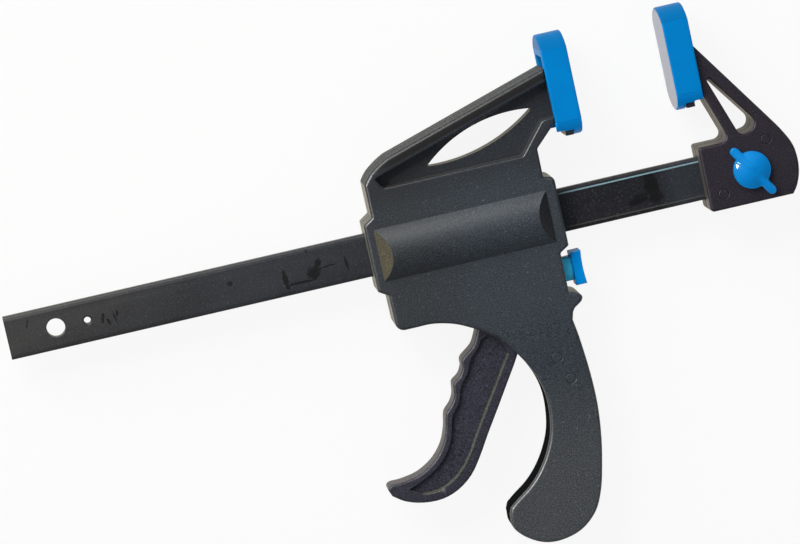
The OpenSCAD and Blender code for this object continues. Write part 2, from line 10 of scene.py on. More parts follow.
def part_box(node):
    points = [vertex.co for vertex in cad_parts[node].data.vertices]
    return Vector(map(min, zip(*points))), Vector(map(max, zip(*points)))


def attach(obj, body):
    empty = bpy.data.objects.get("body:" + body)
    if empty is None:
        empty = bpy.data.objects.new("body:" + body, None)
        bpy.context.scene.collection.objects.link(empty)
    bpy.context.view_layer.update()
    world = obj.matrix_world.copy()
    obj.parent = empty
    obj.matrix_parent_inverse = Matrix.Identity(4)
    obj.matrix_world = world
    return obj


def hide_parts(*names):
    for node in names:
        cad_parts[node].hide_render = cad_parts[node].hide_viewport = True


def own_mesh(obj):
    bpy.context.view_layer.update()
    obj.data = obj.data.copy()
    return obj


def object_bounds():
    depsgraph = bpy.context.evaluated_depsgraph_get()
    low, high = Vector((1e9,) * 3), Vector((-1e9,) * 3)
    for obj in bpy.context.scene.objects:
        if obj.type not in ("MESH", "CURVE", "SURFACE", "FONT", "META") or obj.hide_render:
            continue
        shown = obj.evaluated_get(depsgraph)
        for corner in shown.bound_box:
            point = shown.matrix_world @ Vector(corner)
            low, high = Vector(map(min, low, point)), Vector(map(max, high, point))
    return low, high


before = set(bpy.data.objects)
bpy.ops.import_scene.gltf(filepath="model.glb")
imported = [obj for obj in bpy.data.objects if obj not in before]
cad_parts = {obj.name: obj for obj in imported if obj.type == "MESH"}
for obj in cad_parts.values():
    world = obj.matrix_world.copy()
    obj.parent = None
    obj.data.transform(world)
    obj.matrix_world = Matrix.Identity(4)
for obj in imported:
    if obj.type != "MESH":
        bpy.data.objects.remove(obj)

bl_info = {
    "name": "Quick release bar clamp",
    "version": (1, 0, 0),
    "blender": (4, 5, 0),
    "location": "3D View > Sidebar > Clamp",
    "description": "Dresses the packed clamp with rounded shells, finishes and a studio stage",
    "category": "Object",
}

CAD_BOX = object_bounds()
MM = 0.001

# Places along the bar, in millimetres: left ends of head and fixed jaw, middle of the knob, end
# of the release cap's stem
HEAD_X, JAW_X, KNOB_X, CAP_X = 150.5, 302.0, 324.0, 234.9
# Half thicknesses of the head's body, its handle, the fixed jaw and the trigger
HEAD_HALF, GRIP_HALF, JAW_HALF, TRIGGER_HALF = 12.0, 9.0, 11.0, 6.5
# Height of the pads' lower and upper ends, half their width, height of their arched heel
PAD_LOW, PAD_TOP, PAD_HALF, PAD_HEEL = 33.0, 81.0, 14.0, 8.0
# Half widths of the pads' lower mouth in the solids and here, its top, half width of the stub in it
MOUTH_CAD, MOUTH_HALF, MOUTH_TOP, TONGUE_HALF = 12.1, 9.5, 40.5, 8.9
# Where the body thins to the handle: in the solids, and along the soft curve made here
GRIP_FROM, GRIP_TO = -52.0, -78.0
GRIP_SOFT = (-43.0, -90.0)
# The arm's upper edge: its height 12 mm from the head's end, its slope, its height at X = 0
ARM_ROOT, ARM_SLOPE = 42.7, math.tan(math.radians(16.8))
ARM_LEVEL = ARM_ROOT - (HEAD_X + 12) * ARM_SLOPE
# The straight piece of the outline at the arm's root, and how far it bows outwards
ROOT_A, ROOT_B, ROOT_BOW = Vector((HEAD_X - 0.43, 32.89)), Vector((HEAD_X + 4.4, 38.1)), 0.36
# The corners of the arm's eye-shaped hole, and its bows: side, height in the solids and here
EYE_A, EYE_B = Vector((179.7, 33.8)), Vector((232.5, 49.2))
EYE_BOWS = ((1, 7.7, 6.25), (-1, 5.6, 5.2))
# The head's screws, in its own frame
SCREWS = ((12, 22), (68, 22), (14, -27), (70.5, -66), (58, -138.5))
# The bar's half width and half thickness, and its rolled edges: their ridge and their drop
BAR_HALF, BAR_RIDGE, BAR_DROP = (10.0, 2.5), 7.9, 0.35
# Each coil, the joint that it follows, and how far that shortens it
COILS = (("drive", "trigger_squeeze", 8.3), ("brake", "brake_lever_tilt", 3.6))

# Worn places of the bar and round ejector marks of the moulds: x, y, half width, half height
# in millimetres, turn in degrees
BAR_MARKS = ((106.2, -2.6, 0.9, 3.6, 5), (119.5, -2.2, 2.6, 2.2, 0), (113.5, -5.2, 6.0, 0.5, 0),
             (122.0, 1.6, 1.2, 1.8, -20), (126.0, -0.6, 4.0, 0.35, 4), (134.8, -0.9, 0.5, 2.4, 8),
             (81.1, 1.5, 0.9, 0.9, 0), (27.0, -1.2, 0.3, 2.6, 10), (28.3, 0.4, 0.6, 1.3, 0),
             (-12.3, 4.6, 0.3, 1.9, -20), (21.6, -0.6, 0.6, 1.9, -15), (24.0, -2.8, 0.5, 1.6, 20),
             (118.0, 8.4, 0.6, 0.6, 0), (279.0, 0.8, 2.6, 6.6, 12), (272.0, -3.0, 4.5, 1.6, 15))
MOULD_MARKS = ((333.3, 12.2, 2.6, 2.6, 0), (309.3, -8.1, 2.6, 2.6, 0),
               (218.9, -64.2, 2.6, 2.6, 0), (223.3, -75.2, 2.6, 2.6, 0))

# The bar's colour along its length, paler towards the free end and nearly black before the fixed
# jaw: painted light falloff. Place in millimetres and colour
BAR_LIGHT_FALLOFF = ((0, (0.035, 0.034, 0.033)), (60, (0.029, 0.030, 0.033)), (100, (0.024, 0.027, 0.034)),
             (150, (0.022, 0.025, 0.031)), (200, (0.008, 0.008, 0.012)),
             (280, (0.006, 0.006, 0.010)), (290, (0.022, 0.028, 0.037)))

# Rim of the trigger's hollow panel, in the head's frame: the finger side, the back, the top
PANEL_FRONT = ((36.6, -49.0), (34.4, -52.6), (30.2, -56.9), (28.5, -60.6), (27.0, -63.6),
               (24.2, -66.6), (22.5, -69.8), (21.6, -73.2), (19.6, -76.8), (17.0, -79.8),
               (15.6, -83.4), (14.7, -87.4), (12.3, -93.4), (8.6, -98.6), (3.6, -103.0),
               (-3.0, -106.6), (-10.2, -109.3))
PANEL_BACK = ((-5.0, -112.6), (3.1, -112.8), (9.3, -110.6), (15.4, -106.0), (21.0, -99.1),
              (26.7, -90.0), (33.1, -80.2), (40.1, -69.7), (47.7, -58.0))
PANEL_TOP = ((44.2, -51.4), (40.0, -48.3))
PANEL_DEPTH = 2.0

# Depth of the grain in metres: the head's, the other moulded pieces'
COARSE, FINE = 0.00006, 0.00004
# Angle from which an edge stays sharp, width of the camera's sensor in millimetres
SHARP, SENSOR = math.radians(28), 36


# ---- Settings ----

class ClampSizes(bpy.types.PropertyGroup):
    """Roundings and grain of the moulded pieces"""
    shell_round: bpy.props.FloatProperty(
        name="Shell edge", description="Radius along the outer edges of the head",
        default=1.5 * MM, min=0.0, unit="LENGTH")
    seam: bpy.props.FloatProperty(
        name="Seam", description="Chamfer where the two halves of a shell meet",
        default=0.45 * MM, min=0.0, unit="LENGTH")
    trigger_round: bpy.props.FloatProperty(
        name="Trigger edge", description="Radius along the trigger's edges",
        default=1.1 * MM, min=0.0, unit="LENGTH")
    pad_round: bpy.props.FloatProperty(
        name="Pad edge", description="Radius along the pads' edges",
        default=0.8 * MM, min=0.0, unit="LENGTH")
    grain: bpy.props.FloatProperty(
        name="Grain", description="Width of a grain of the shells' eroded surface",
        default=0.6 * MM, min=0.05 * MM, unit="LENGTH")


class ClampColours(bpy.types.PropertyGroup):
    """Colours of the finishes"""
    shell: bpy.props.FloatVectorProperty(
        name="Shells", description="Dark moulded plastic of head, jaw and trigger",
        default=(0.029, 0.037, 0.047), min=0.0, max=1.0, subtype="COLOR")
    blue: bpy.props.FloatVectorProperty(
        name="Blue", description="Pads, knob and release cap",
        default=(0.0, 0.20, 0.56), min=0.0, max=1.0, subtype="COLOR")
    bar: bpy.props.FloatVectorProperty(
        name="Bar", description="Patches and specks of the blackened bar",
        default=(0.020, 0.020, 0.024), min=0.0, max=1.0, subtype="COLOR")
    zinc: bpy.props.FloatVectorProperty(
        name="Zinc", description="Plated levers, screws and pins",
        default=(0.62, 0.63, 0.64), min=0.0, max=1.0, subtype="COLOR")


class ClampStage(bpy.types.PropertyGroup):
    """Camera and light"""
    lens: bpy.props.FloatProperty(
        name="Lens", description="Focal length of the camera", default=180.0, min=1.0)
    key: bpy.props.FloatProperty(
        name="Key light", description="Power of the main light, which the others follow",
        default=33.0, min=0.0, subtype="POWER")
    sky: bpy.props.FloatProperty(
        name="Surroundings", description="Strength of the even light all round",
        default=0.40, min=0.0)
    floor: bpy.props.FloatVectorProperty(
        name="Floor", description="Colour of the floor",
        default=(0.72, 0.72, 0.72), min=0.0, max=1.0, subtype="COLOR")


# ---- Shader helpers ----

class Nodes:
    """The node tree of a material or of the world, with short calls for the nodes used here"""

    def __init__(self, owner, output="ShaderNodeOutputMaterial"):
        owner.use_nodes = True
        self.owner = owner
        self.tree = owner.node_tree
        self.tree.nodes.clear()
        self.out = self.add(output)

    def add(self, kind, **values):
        n = self.tree.nodes.new(kind)
        for k, v in values.items():
            setattr(n, k, v)
        return n

    def link(self, a, b):
        self.tree.links.new(a, b)

    def feed(self, sockets, values):
        """Links outputs to sockets, or gives the sockets numbers, places or colours"""
        for socket, v in zip(sockets, values):
            if hasattr(v, "is_output"):
                self.link(v, socket)
            else:
                socket.default_value = (*v, 1.0) if socket.type == "RGBA" else v

    def set(self, node, **inputs):
        self.feed([node.inputs[k.replace("_", " ")] for k in inputs], inputs.values())
        return node

    def here(self):
        """The frame's own coordinates, in metres"""
        return self.add("ShaderNodeTexCoord").outputs["Object"]

    def place(self, scale=(1, 1, 1)):
        """The frame's own coordinates, in metres, times scale"""
        m = self.set(self.add("ShaderNodeMapping"), Vector=self.here(), Scale=scale)
        return m.outputs["Vector"]

    def axis(self, which, vector=None):
        """One coordinate of the frame, in metres, or of another vector"""
        s = self.add("ShaderNodeSeparateXYZ")
        self.link(self.here() if vector is None else vector, s.inputs[0])
        return s.outputs[which]

    def noise(self, where, scale, detail=3.0, rough=0.55):
        n = self.add("ShaderNodeTexNoise")
        self.set(n, Vector=where, Scale=scale, Detail=detail, Roughness=rough)
        return n.outputs["Fac"]

    def span(self, x, a, b, c=0.0, d=1.0, smooth=False):
        """From c to d while x goes from a to b"""
        n = self.add("ShaderNodeMapRange")
        if smooth:
            n.interpolation_type = "SMOOTHSTEP"
        self.feed(n.inputs, (x, a, b, c, d))
        return n.outputs[0]

    def along(self, x, a, b, smooth=False):
        """From 0 to 1 between two places in millimetres"""
        return self.span(x, a * MM, b * MM, smooth=smooth)

    def ramp(self, x, stops):
        """Colours at places given in millimetres, blended between them"""
        n = self.add("ShaderNodeValToRGB")
        first, last = stops[0][0], stops[-1][0]
        while len(n.color_ramp.elements) < len(stops):
            n.color_ramp.elements.new(0.5)
        for e, (at, colour) in zip(n.color_ramp.elements, stops):
            e.position = (at - first) / (last - first)
            e.color = (*colour, 1.0)
        self.link(self.along(x, first, last), n.inputs[0])
        return n.outputs[0]

    def math(self, op, a, b=0.0):
        n = self.add("ShaderNodeMath", operation=op)
        self.feed(n.inputs, (a, b))
        return n.outputs[0]

    def times(self, a, b):
        return self.math("MULTIPLY", a, b)

    def mix(self, fac, a, b, kind="MIX"):
        n = self.add("ShaderNodeMix", data_type="RGBA", blend_type=kind)
        self.feed((n.inputs[0], n.inputs[6], n.inputs[7]), (fac, a, b))
        return n.outputs[2]

    def bump(self, height, strength, distance, **under):
        n = self.add("ShaderNodeBump")
        self.set(n, Height=height, Strength=strength, Distance=distance, **under)
        return n.outputs["Normal"]

    def nearest(self, marks):
        """Distance to the nearest of some ellipses, in their own half widths"""
        near = 99.0
        for x, y, wide, high, turn in marks:
            m = self.add("ShaderNodeMapping", vector_type="TEXTURE")
            self.set(m, Vector=self.here(), Location=(x * MM, y * MM, 0),
                     Rotation=(0, 0, math.radians(turn)), Scale=(wide * MM, high * MM, 1))
            far = self.add("ShaderNodeVectorMath", operation="LENGTH")
            self.link(m.outputs["Vector"], far.inputs[0])
            near = self.math("MINIMUM", far.outputs["Value"], near)
        return near

    def surface(self, colour, rough, normal, **fixed):
        b = self.add("ShaderNodeBsdfPrincipled")
        self.set(b, Base_Color=colour, Roughness=rough, Normal=normal, **fixed)
        self.link(b.outputs[0], self.out.inputs["Surface"])
        return self.owner

    def seen(self):
        """Whether a ray shows the stage itself or only brings light, and whether it's mirrored"""
        path = self.add("ShaderNodeLightPath").outputs
        seen = path["Is Camera Ray"]
        for other in ("Is Glossy Ray", "Is Transmission Ray"):
            seen = self.math("MAXIMUM", seen, path[other])
        return seen, path["Is Glossy Ray"]

    def finish_with(self, share, first, second):
        """Ends the tree with the first shader and this share of the second"""
        both = self.add("ShaderNodeMixShader")
        self.feed(both.inputs, (share, first.outputs[0], second.outputs[0]))
        self.link(both.outputs[0], self.out.inputs["Surface"])


def material(name):
    return Nodes(bpy.data.materials.new(name))


def sizes():
    return bpy.context.scene.clamp_sizes


def colours():
    return bpy.context.scene.clamp_colours


def moulded(name, shares, depth, rough, level, width=1.0, tone=None):
    """Dark plastic from an eroded mould: fine grain, faint mottling, dull on its high spots.
    The last argument, a function of the nodes and the colour, may paint light and shade into the
    colour from place to place."""
    n = material(name)
    where = n.place()
    base = Vector([c * share for c, share in zip(colours().shell, shares)])
    grain = sizes().grain * width
    fine = n.noise(where, 1.0 / grain, 2.0, 0.6)
    wide = n.noise(where, 55.0, 4.0, 0.6)
    spark = n.noise(where, 0.62 / grain, 1.0, 0.5)
    tint = n.mix(n.span(fine, 0.35, 0.66), base * 0.15, base * 1.8)
    tint = n.mix(n.span(wide, 0.3, 0.7, 0.0, 0.35), tint, base * 1.25)
    tint = n.mix(n.span(spark, 0.66, 0.76, 0.0, 0.6), tint, base * 3.6)
    if tone:
        tint = tone(n, tint)
    shine = n.span(fine, 0.3, 0.7, rough + 0.07, rough - 0.05)
    ring = n.math("SUBTRACT", n.nearest(MOULD_MARKS), 0.9)
    ring = n.span(n.math("ABSOLUTE", ring), 0.0, 0.16, 1.0, 0.0, smooth=True)
    tint = n.mix(n.times(ring, 0.75), tint, base * 0.15)
    normal = n.bump(fine, 0.7, depth, Normal=n.bump(ring, 0.5, -0.0003))
    return n.surface(tint, shine, normal, Specular_IOR_Level=level, Sheen_Weight=0.16,
                     Sheen_Roughness=0.28, Sheen_Tint=(1.0, 0.88, 0.58))


def head_light_and_shade(n, tint):
    """Painted light and shade on the head: the arm's rim and the boss's right end painted darker as
    shade, the grip and the boss's left end painted paler as light; the body also darker from y 14
    mm upwards and towards its left"""
    x, y, z = (n.axis(k) for k in range(3))
    above = n.math("SUBTRACT", y, n.times(x, ARM_SLOPE))
    rim = n.along(above, ARM_LEVEL - 5.0, ARM_LEVEL - 3.6, True)
    facing = n.axis(0, n.add("ShaderNodeNewGeometry").outputs["Normal"])
    boss = n.along(z, HEAD_HALF + 0.1, HEAD_HALF + 0.3)
    # painted shade on the arm's rim, painted light on the grip, darker over the arm and towards the
    # left, painted light on the boss's left end, painted shade on its right end
    for share, colour in (
            (n.times(rim, n.along(y, 36, 41, True)), (0.20, 0.10, 0.10)),
            (n.along(y, -60, -125, True), (1.75, 1.5, 1.3)),
            (n.along(y, 14, 30, True), (0.60, 0.60, 0.62)),
            (n.along(x, 200, 160, True), (0.84, 0.78, 0.72)),
            (n.times(n.span(facing, -0.4, -0.5), boss), (2.1, 1.5, 0.6)),
            (n.times(n.span(facing, 0.4, 0.5), boss), (0.4, 0.34, 0.34))):
        tint = n.mix(share, tint, colour, "MULTIPLY")
    return tint


def bright_blue(name, rough, level, gain=1.0, sheen=0.0):
    """Bright moulded blue, nearly even, with faint flow marks, and painted light and shade on the
    pads and the cap
    """
    n = material(name)
    where = n.place()
    wide = n.noise(where, 70.0, 3.0, 0.5)
    fine = n.noise(where, 1800.0, 2.0, 0.5)
    base = Vector(colours().blue) * gain
    tint = n.mix(n.span(wide, 0.3, 0.7), base * 0.97, base * 1.06)
    if name == "gloss_blue":
        #         painted shade on the pads' arched ends, painted light on their heels, which face
        #         down
        y, heel = n.axis(1), PAD_LOW + PAD_HEEL
        tint = n.mix(n.along(y, PAD_TOP - 6.7, PAD_TOP - 6.5), tint, base * 0.64)
        tint = n.mix(n.along(y, heel, heel - 0.3), tint, base * 1.6)
    if name == "cap_blue":
        #         the cap's stem is painted pale: painted light where the body shades it
        tint = n.mix(n.along(n.axis(0), CAP_X + 0.1, CAP_X - 0.1), tint, (0.05, 0.50, 0.80))
    shine = n.span(fine, 0.3, 0.7, rough - 0.04, rough + 0.04)
    return n.surface(tint, shine, n.bump(fine, 0.15, 0.00004), Specular_IOR_Level=level,
                     Sheen_Weight=sheen, Sheen_Roughness=0.35, Sheen_Tint=(1.0, 0.84, 0.66))


def black_bar(name):
    """Blackened flat steel with worn places, painted paler towards the free end as light falloff
    and with painted highlights along the ridges
    """
    n = material(name)
    where = n.place()
    lines = n.noise(n.place((6, 900, 900)), 1.0, 4.0, 0.6)
    cloud = n.noise(n.place((25, 60, 60)), 1.0, 4.0, 0.6)
    speck = n.noise(where, 1500.0, 2.0, 0.6)
    ragged = n.noise(where, 700.0, 5.0, 0.75)
    x, y = n.axis(0), n.axis(1)
    base = Vector(colours().bar)
    # painted light falloff: paler towards the free end
    tint = n.mix(n.span(cloud, 0.35, 0.7, 0.0, 0.6), n.ramp(x, BAR_LIGHT_FALLOFF), base * 0.6)
    tint = n.mix(n.span(speck, 0.58, 0.70, 0.0, 0.6), tint, base * 3.8)
    marks = n.times(n.nearest(BAR_MARKS), 0.72)
    marks = n.math("ADD", marks, n.span(ragged, 0.3, 0.7, -0.45, 0.45))
    dark = n.span(marks, 0.82, 1.04, 0.96, 0.0, smooth=True)
    tint = n.mix(dark, tint, base * 0.04)
    #     a painted highlight along the ridge towards the jaws, a fainter, warmer one along the
    #     other ridge
    at_jaw = n.along(x, 225, 250, True)
    for ridge, colour, most in ((BAR_RIDGE, (0.24, 0.40, 0.46), 0.85),
                                (-BAR_RIDGE, (0.09, 0.085, 0.07), 0.6)):
        off = n.math("ABSOLUTE", n.math("SUBTRACT", y, ridge * MM))
        line = n.span(off, 0.0002, 0.00045, most, 0.0, smooth=True)
        line = n.times(line, n.span(lines, 0.2, 0.5, 0.55, 1.0))
        tint = n.mix(n.times(line, at_jaw), tint, colour)
    rough = n.span(lines, 0.3, 0.7, 0.34, 0.46)
    normal = n.bump(lines, 0.2, 0.00003, Normal=n.bump(dark, 0.3, -0.0001))
    return n.surface(tint, rough, normal, Specular_IOR_Level=0.26)


def bare_metal(name, gain, dim, scale, detail, low, high, scratched):
    """Plated or oiled metal, cloudy between dim and full colour, with a faint relief"""
    n = material(name)
    cloud = n.noise(n.place(), scale, detail, 0.6)
    lines = n.noise(n.place((300, 300, 3000)), 1.0, 3.0, 0.6) if scratched else cloud
    base = Vector(colours().zinc) * gain
    tint = n.mix(n.span(cloud, 0.3, 0.7), base * dim, base)
    normal = n.bump(lines, 0.15 if scratched else 0.1, 0.00003)
    return n.surface(tint, n.span(cloud, 0.3, 0.7, low, high), normal, Metallic=1.0)


# Each finish: its function and what that takes. Moulded: shares of the shells' red, green and
# blue, depth of the grain, roughness, specular level, width of the grain. Bright blue: roughness,
# specular level, strength, sheen. Bare metal: strength of the zinc's colour, share of it in dim
# places, scale and detail of the clouds, least and most roughness, whether it's scratched.
FINISHES = {
    # the head, with painted light and shade, and the arm's outer side, a darker and less glossy
    # copy of its plastic: painted shade
    "eroded_plastic": (moulded, (1, 1, 1), COARSE, 0.37, 0.4, 1.0, head_light_and_shade),
    "dull_plastic": (moulded, (0.8, 0.8, 0.8), COARSE, 0.6, 0.12),
    # the trigger, a warmer black, and its panel's back edge, a paler copy: a painted highlight
    "trigger_plastic": (moulded, (1, 0.76, 0.9), FINE, 0.42, 0.22),
    "rubbed_plastic": (moulded, (2.41379, 2, 1.2766), FINE, 0.42, 0.22),
    # painted shade: nearly black, in the corner of the trigger's panel and the channel of the
    # handle
    "shaded_plastic": (moulded, (0.1, 0.1, 0.1), FINE, 0.6, 0.1),
    # the fixed jaw, blacker and finer
    "smooth_plastic": (moulded, (0.76, 0.48595, 0.56766), FINE, 0.40, 0.2, 0.8),
    # the pads, and their clamping faces with a bloom that turns pale at a low angle
    "gloss_blue": (bright_blue, 0.34, 0.04),
    "face_blue": (bright_blue, 0.5, 0.35, 0.6, 0.8),
    "polished_blue": (bright_blue, 0.10, 0.22, 1.1),
    # the release cap, a brighter copy of the blue: painted light where the body shades it
    "cap_blue": (bright_blue, 0.34, 0.04, 1.3),
    "black_bar": (black_bar,),
    "zinc": (bare_metal, 1.0, 0.82, 180.0, 4.0, 0.26, 0.42, True),
    "oiled_spring": (bare_metal, 0.42, 0.7, 500.0, 3.0, 0.25, 0.4, False),
}


@functools.cache
def finish(name):
    """A finish by name, made once"""
    make, *values = FINISHES[name]
    return make(name, *values)


# ---- Mesh helpers ----

def share_of(x, start, end):
    """How far x has come from start to end, from 0 to 1"""
    return min(1, max(0, (x - start) / (end - start)))


def added(name, data):
    """A new object in the scene"""
    ob = bpy.data.objects.new(name, data)
    bpy.context.scene.collection.objects.link(ob)
    return ob


def mesh_of(name, bm):
    """Puts a finished bmesh into a new mesh"""
    mesh = bpy.data.meshes.new(name)
    bm.to_mesh(mesh)
    bm.free()
    return mesh


def shade(ob, angle):
    """Smooth shading with sharp edges by angle and flat faces kept flat"""
    bm = bmesh.new()
    bm.from_mesh(ob.data)
    for f in bm.faces:
        f.smooth = True
    for e in bm.edges:
        e.smooth = len(e.link_faces) == 2 and e.calc_face_angle() < angle
    bm.to_mesh(ob.data)
    bm.free()
    w = ob.modifiers.new("flats", "WEIGHTED_NORMAL")
    w.keep_sharp = True
    w.weight = 80
    graph = bpy.context.evaluated_depsgraph_get()
    mesh = bpy.data.meshes.new_from_object(
        ob.evaluated_get(graph), preserve_all_data_layers=True, depsgraph=graph)
    ob.modifiers.clear()
    old, ob.data = ob.data, mesh
    bpy.data.meshes.remove(old)
    mesh.name = ob.name


def clean_copy(node):
    """A CAD solid's mesh as one closed skin"""
    bm = bmesh.new()
    bm.from_mesh(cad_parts[node].data)
    bmesh.ops.remove_doubles(bm, verts=bm.verts, dist=3e-6)
    return bm


def finer_walls(bm, axis, chosen, cuts=2):
    """Splits the facets of a round wall across an axis and returns all its vertices.
    chosen(vertex) tells which vertices belong to the wall."""
    bm.normal_update()
    wall = [f for f in bm.faces if abs(f.normal[axis]) < 0.02 and all(map(chosen, f.verts))]
    flat = [e for e in bm.edges if len(e.link_faces) == 2
            and all(f in wall for f in e.link_faces) and e.calc_face_angle() < 0.003]
    if not wall:
        raise RuntimeError("no round wall here")
    rungs = {e for f in wall for e in f.edges} - set(flat)
    bmesh.ops.dissolve_edges(bm, edges=flat, use_verts=False)
    chords = [e for e in rungs if e.is_valid
              and abs(e.verts[0].co[axis] - e.verts[1].co[axis]) < 1e-7]
    bmesh.ops.subdivide_edges(bm, edges=chords, cuts=cuts, use_grid_fill=True)
    bmesh.ops.triangulate(bm, faces=[f for f in bm.faces if len(f.verts) > 4])
    return [w for w in bm.verts if chosen(w)]


def unit(axis, sign=1):
    return Vector([sign if k == axis else 0 for k in range(3)])


def cut_across(bm, axis, places):
    """Adds edges where the planes at these places cross the mesh, in millimetres"""
    for at in places:
        bmesh.ops.bisect_plane(bm, geom=[*bm.verts, *bm.edges, *bm.faces], dist=1e-7,
                               plane_co=unit(axis) * at * MM, plane_no=unit(axis))


def rims_of(cap):
    """The closed rims of a flat region: lists of (vertex, edge to the next), region on the left"""
    inside = set(cap)
    onward = {}
    for f in cap:
        for l in f.loops:
            if all(g is f or g not in inside for g in l.edge.link_faces):
                onward.setdefault(l.vert, []).append((l.link_loop_next.vert, l.edge))
    rims = []
    while onward:
        start = next(iter(onward))
        rim, v = [], start
        while v in onward:
            w, e = onward[v].pop()
            if not onward[v]:
                del onward[v]
            rim.append((v, e))
            v = w
        rims.append(rim)
    return rims


def inner_line(points, radii, normal):
    """The rim moved into the region by its radii; corners tighter than that close to a point"""
    n = len(points)
    along = [(points[(i + 1) % n] - points[i]).normalized() for i in range(n)]
    inward = [normal.cross(d) for d in along]
    moved = []
    for i in range(n):
        a, b = inward[i - 1], inward[i]
        moved.append(points[i] + (a + b) / max(0.3, 1 + a.dot(b)) * radii[i])
    first = list(moved)
    group = [[i] for i in range(n)]
    for _ in range(n):
        folded = [i for i in range(n) if group[i] is not group[(i + 1) % n]
                  and radii[i] + radii[(i + 1) % n] > 0
                  and (moved[(i + 1) % n] - moved[i]).dot(along[i]) < 1e-7]
        if not folded:
            break
        i = folded[0]
        both = group[i] + group[(i + 1) % n]
        mean = sum((first[k] for k in both), Vector()) / len(both)
        for k in both:
            group[k] = both
            moved[k] = mean
    return moved, group


def fill_flat(bm, lines, axis):
    """Fills the region between closed lines of vertices that lie in one plane across an axis"""
    u, v = [k for k in range(3) if k != axis]
    verts, edges, loops = [], [], []
    for line in lines:
        line = [w for i, w in enumerate(line) if w is not line[i - 1]]
        if len(line) < 3:
            continue
        start = len(verts)
        verts += line
        edges += [(start + i, start + (i + 1) % len(line)) for i in range(len(line))]
        loops.append([(w.co[u], w.co[v]) for w in line])
    flat = [Vector((w.co[u], w.co[v])) for w in verts]
    co, _, faces, origin, _, _ = delaunay_2d_cdt(flat, edges, [], 0, 1e-7)
    height = verts[0].co[axis]
    made = {}

    def vertex(k):
        if k not in made:
            if origin[k]:
                made[k] = verts[origin[k][0]]
            else:
                at = Vector((0, 0, 0))
                at[u], at[v], at[axis] = co[k].x, co[k].y, height
                made[k] = bm.verts.new(at)
        return made[k]

    for f in faces:
        x = sum(co[k].x for k in f) / len(f)
        y = sum(co[k].y for k in f) / len(f)
        crossings = 0
        for loop in loops:
            for i, (x1, y1) in enumerate(loop):
                x0, y0 = loop[i - 1]
                if (y0 > y) != (y1 > y) and x < x0 + (y - y0) * (x1 - x0) / (y1 - y0):
                    crossings += 1
        corner = [vertex(k) for k in f]
        if crossings % 2 and len(set(corner)) == len(corner) and not bm.faces.get(corner):
            bm.faces.new(corner)


def bridge(bm, rows):
    """Faces between closed rows of as many vertices each, and none where two rows are one"""
    for low, high in zip(rows, rows[1:]):
        for i in range(len(low)):
            j = (i + 1) % len(low)
            ring = list(dict.fromkeys((low[i], low[j], high[j], high[i])))
            if len(ring) > 2 and not bm.faces.get(ring):
                bm.faces.new(ring)


def round_rims(bm, axis, height, facing, radius_of, rings=4):
    """Rounds the convex rims of the flat faces at one height, in millimetres, that look along
    the axis (facing 1) or against it (-1). radius_of(place) gives the radius in millimetres."""
    normal = unit(axis, facing)
    bm.normal_update()
    cap = [f for f in bm.faces if f.normal.dot(normal) > 0.9995
           and all(abs(v.co[axis] / MM - height) < 0.004 for v in f.verts)]
    if not cap:
        raise RuntimeError(f"no flat face at {height} mm across axis {axis}")
    inside = set(cap)

    def radius(edge):
        wall = [g for g in edge.link_faces if g not in inside]
        fits = edge.is_convex and len(wall) == 1 and abs(wall[0].normal.dot(normal)) < 0.35
        return radius_of((edge.verts[0].co + edge.verts[1].co) / 2 / MM) if fits else 0.0

    jobs = []
    for rim in rims_of(cap):
        radii = [min(radius(rim[i - 1][1]), radius(e)) * MM for i, (v, e) in enumerate(rim)]
        jobs.append(([v for v, e in rim], radii))
    bmesh.ops.delete(bm, geom=cap, context="FACES")
    lines = []
    for verts, radii in jobs:
        points = [v.co.copy() for v in verts]
        target, group = inner_line(points, radii, normal)
        n = len(verts)
        rows = [list(verts)]
        for k in range(1, rings + 1):
            turn = math.radians(90) * k / rings
            row = []
            for i in range(n):
                if radii[i] == 0:
                    row.append(verts[i])
                    continue
                head = group[i][0]
                if k == rings and head != i and radii[head] > 0 and len(row) > head:
                    row.append(row[head])
                    continue
                at = points[i].lerp(target[i], 1 - math.cos(turn))
                at[axis] = points[i][axis] - facing * radii[i] * (1 - math.sin(turn))
                row.append(bm.verts.new(at))
            rows.append(row)
        for v, r in zip(verts, radii):
            v.co[axis] -= facing * r
        bridge(bm, rows)
        lines.append(rows[-1])
    fill_flat(bm, lines, axis)
    bmesh.ops.remove_doubles(bm, verts=bm.verts, dist=2e-7)
    bmesh.ops.recalc_face_normals(bm, faces=bm.faces)


def curve(points, steps=4):
    """A smooth line through a few points in a plane"""
    line = []
    for i in range(len(points) - 1):
        p0, p1, p2, p3 = (Vector(points[min(max(k, 0), len(points) - 1)])
                          for k in range(i - 1, i + 3))
        for k in range(steps):
            t = k / steps
            line.append(0.5 * (2 * p1 + (p2 - p0) * t + (2 * p0 - 5 * p1 + 4 * p2 - p3) * t * t
                               + (3 * p1 - p0 - 3 * p2 + p3) * t ** 3))
    return line + [Vector(points[-1])]


def beside(p, points, far):
    """Whether a place lies within far of a curve given in the head's frame"""
    return any(math.hypot(p.x - HEAD_X - a, p.y - b) < far for a, b in curve(points, 6))


def beside_line(v, start, along):
    """A vertex's place along a line and to the left of it, in millimetres"""
    p = Vector((v.co.x, v.co.y)) / MM - start
    return p.dot(along), p.dot(left_of(along))


def left_of(along):
    return Vector((-along.y, along.x))


def narrow_tongue(bm, pad):
    """Narrows the pad flange's lower end, the dark stub under the pad"""
    low, high = (c.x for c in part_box(pad))
    for v in bm.verts:
        if (abs(abs(v.co.z) / MM - 11.8) < 0.1 and abs(v.co.y / MM - PAD_LOW - 0.8) < 0.2
                and low < v.co.x < high):
            v.co.z = math.copysign(TONGUE_HALF * MM, v.co.z)


